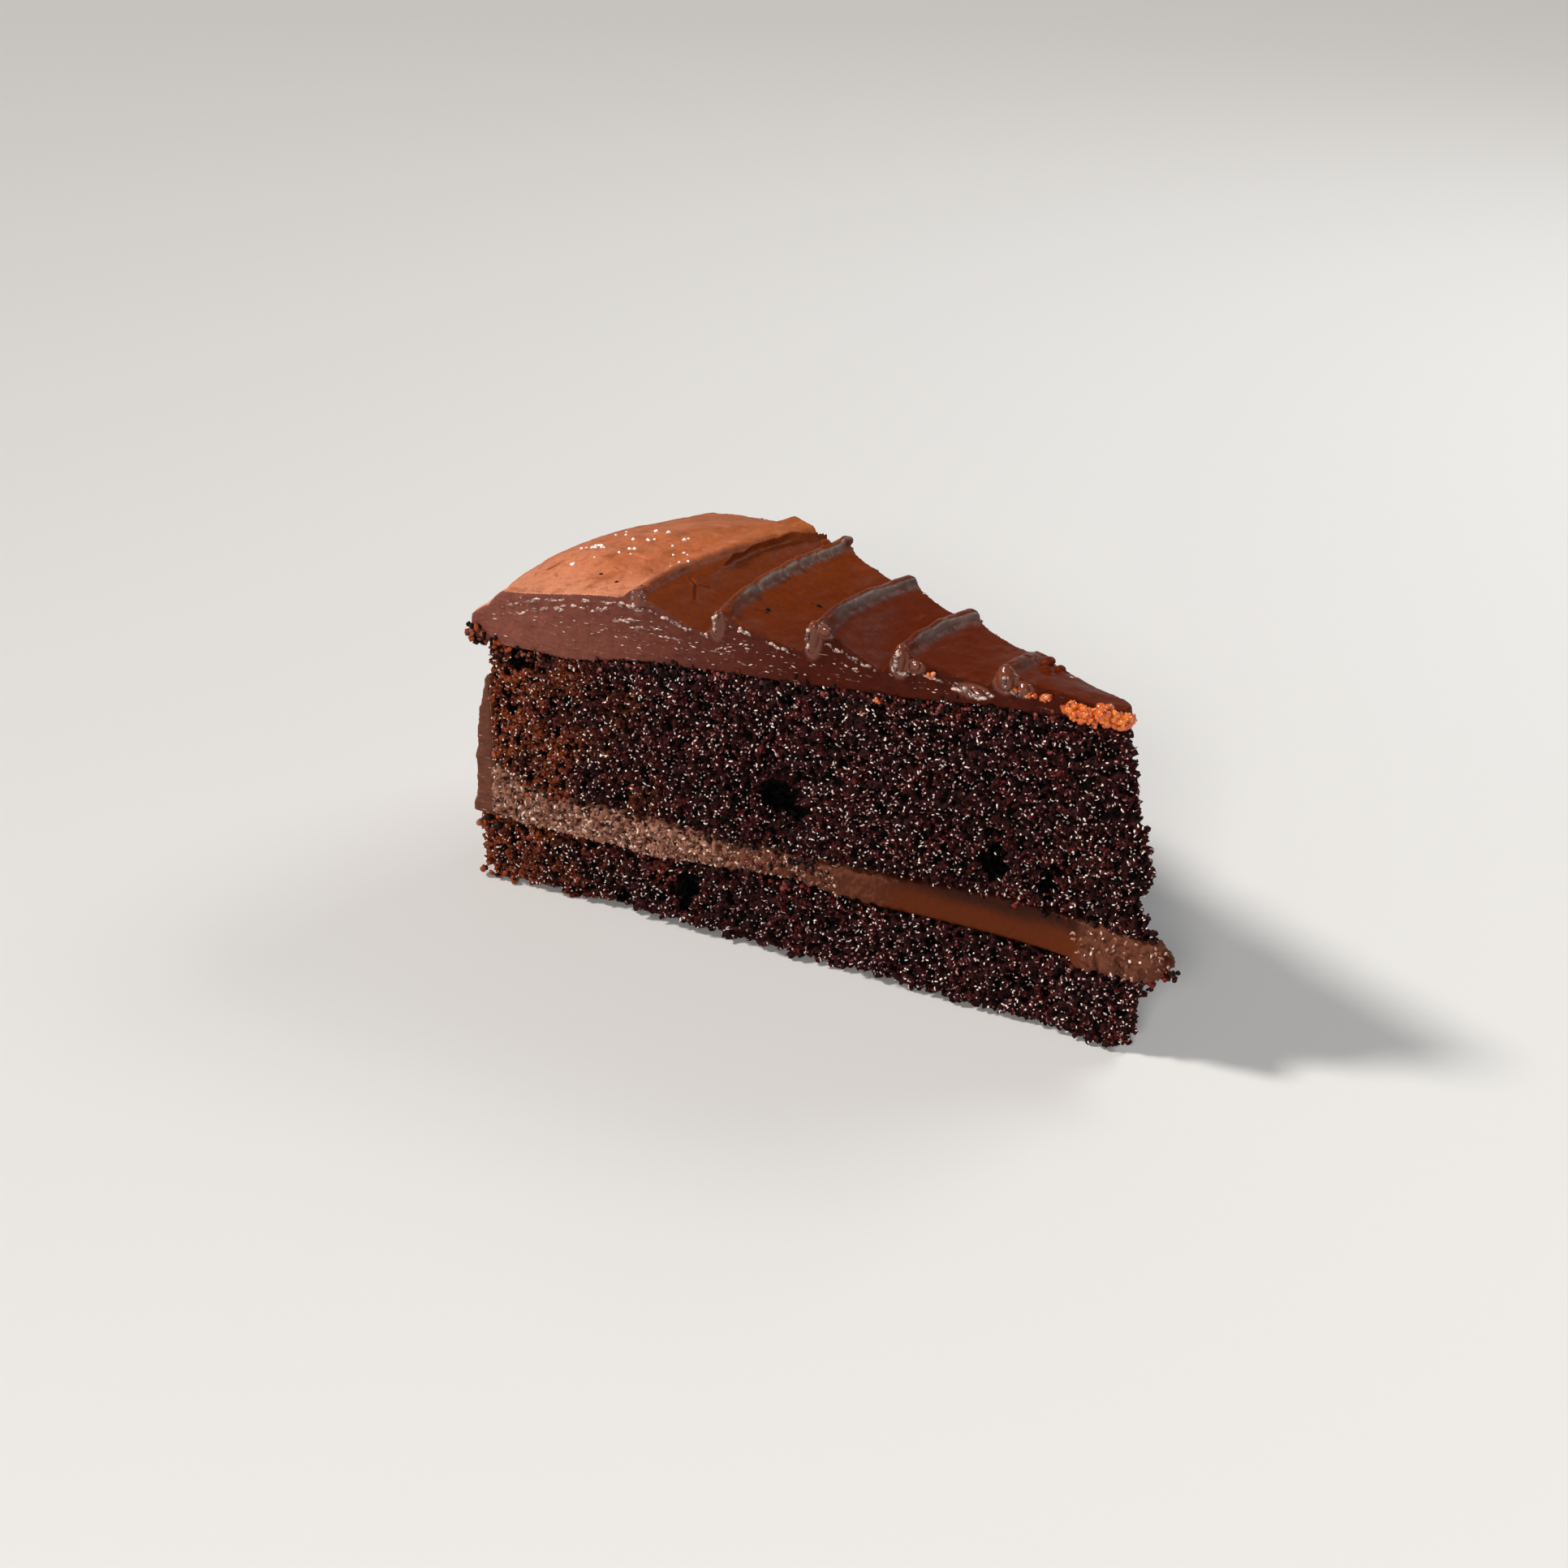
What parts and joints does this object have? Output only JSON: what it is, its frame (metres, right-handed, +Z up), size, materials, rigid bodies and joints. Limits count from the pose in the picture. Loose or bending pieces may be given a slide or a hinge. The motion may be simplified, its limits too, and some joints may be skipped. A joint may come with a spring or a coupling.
{
  "type": "slice of chocolate cake",
  "caption": "Wedge of layered chocolate cake with a filling between its sponges, thick icing combed into concentric lips, and icing down its rim.",
  "frame": {"origin": "under the middle of the slice's box, on its flat base", "axes": "+Z up, +X from the rim to the tip along the middle of the wedge, +Y to the far cut"},
  "size_m": [0.1392, 0.0678, 0.066],
  "materials": {
    "sponge": "open, moist cocoa crumb, nearly black with mauve-brown grains and small glints",
    "filling": "soft chocolate cream, rough where torn and smooth where scraped",
    "icing": "satin chocolate icing, milkier at the rim and glossier towards the tip"
  },
  "bodies": {
    "root": {"lower_sponge": "sponge", "filling": "filling", "upper_sponge": "sponge", "side_icing": "icing", "icing": "icing"}
  },
  "joints": []
}
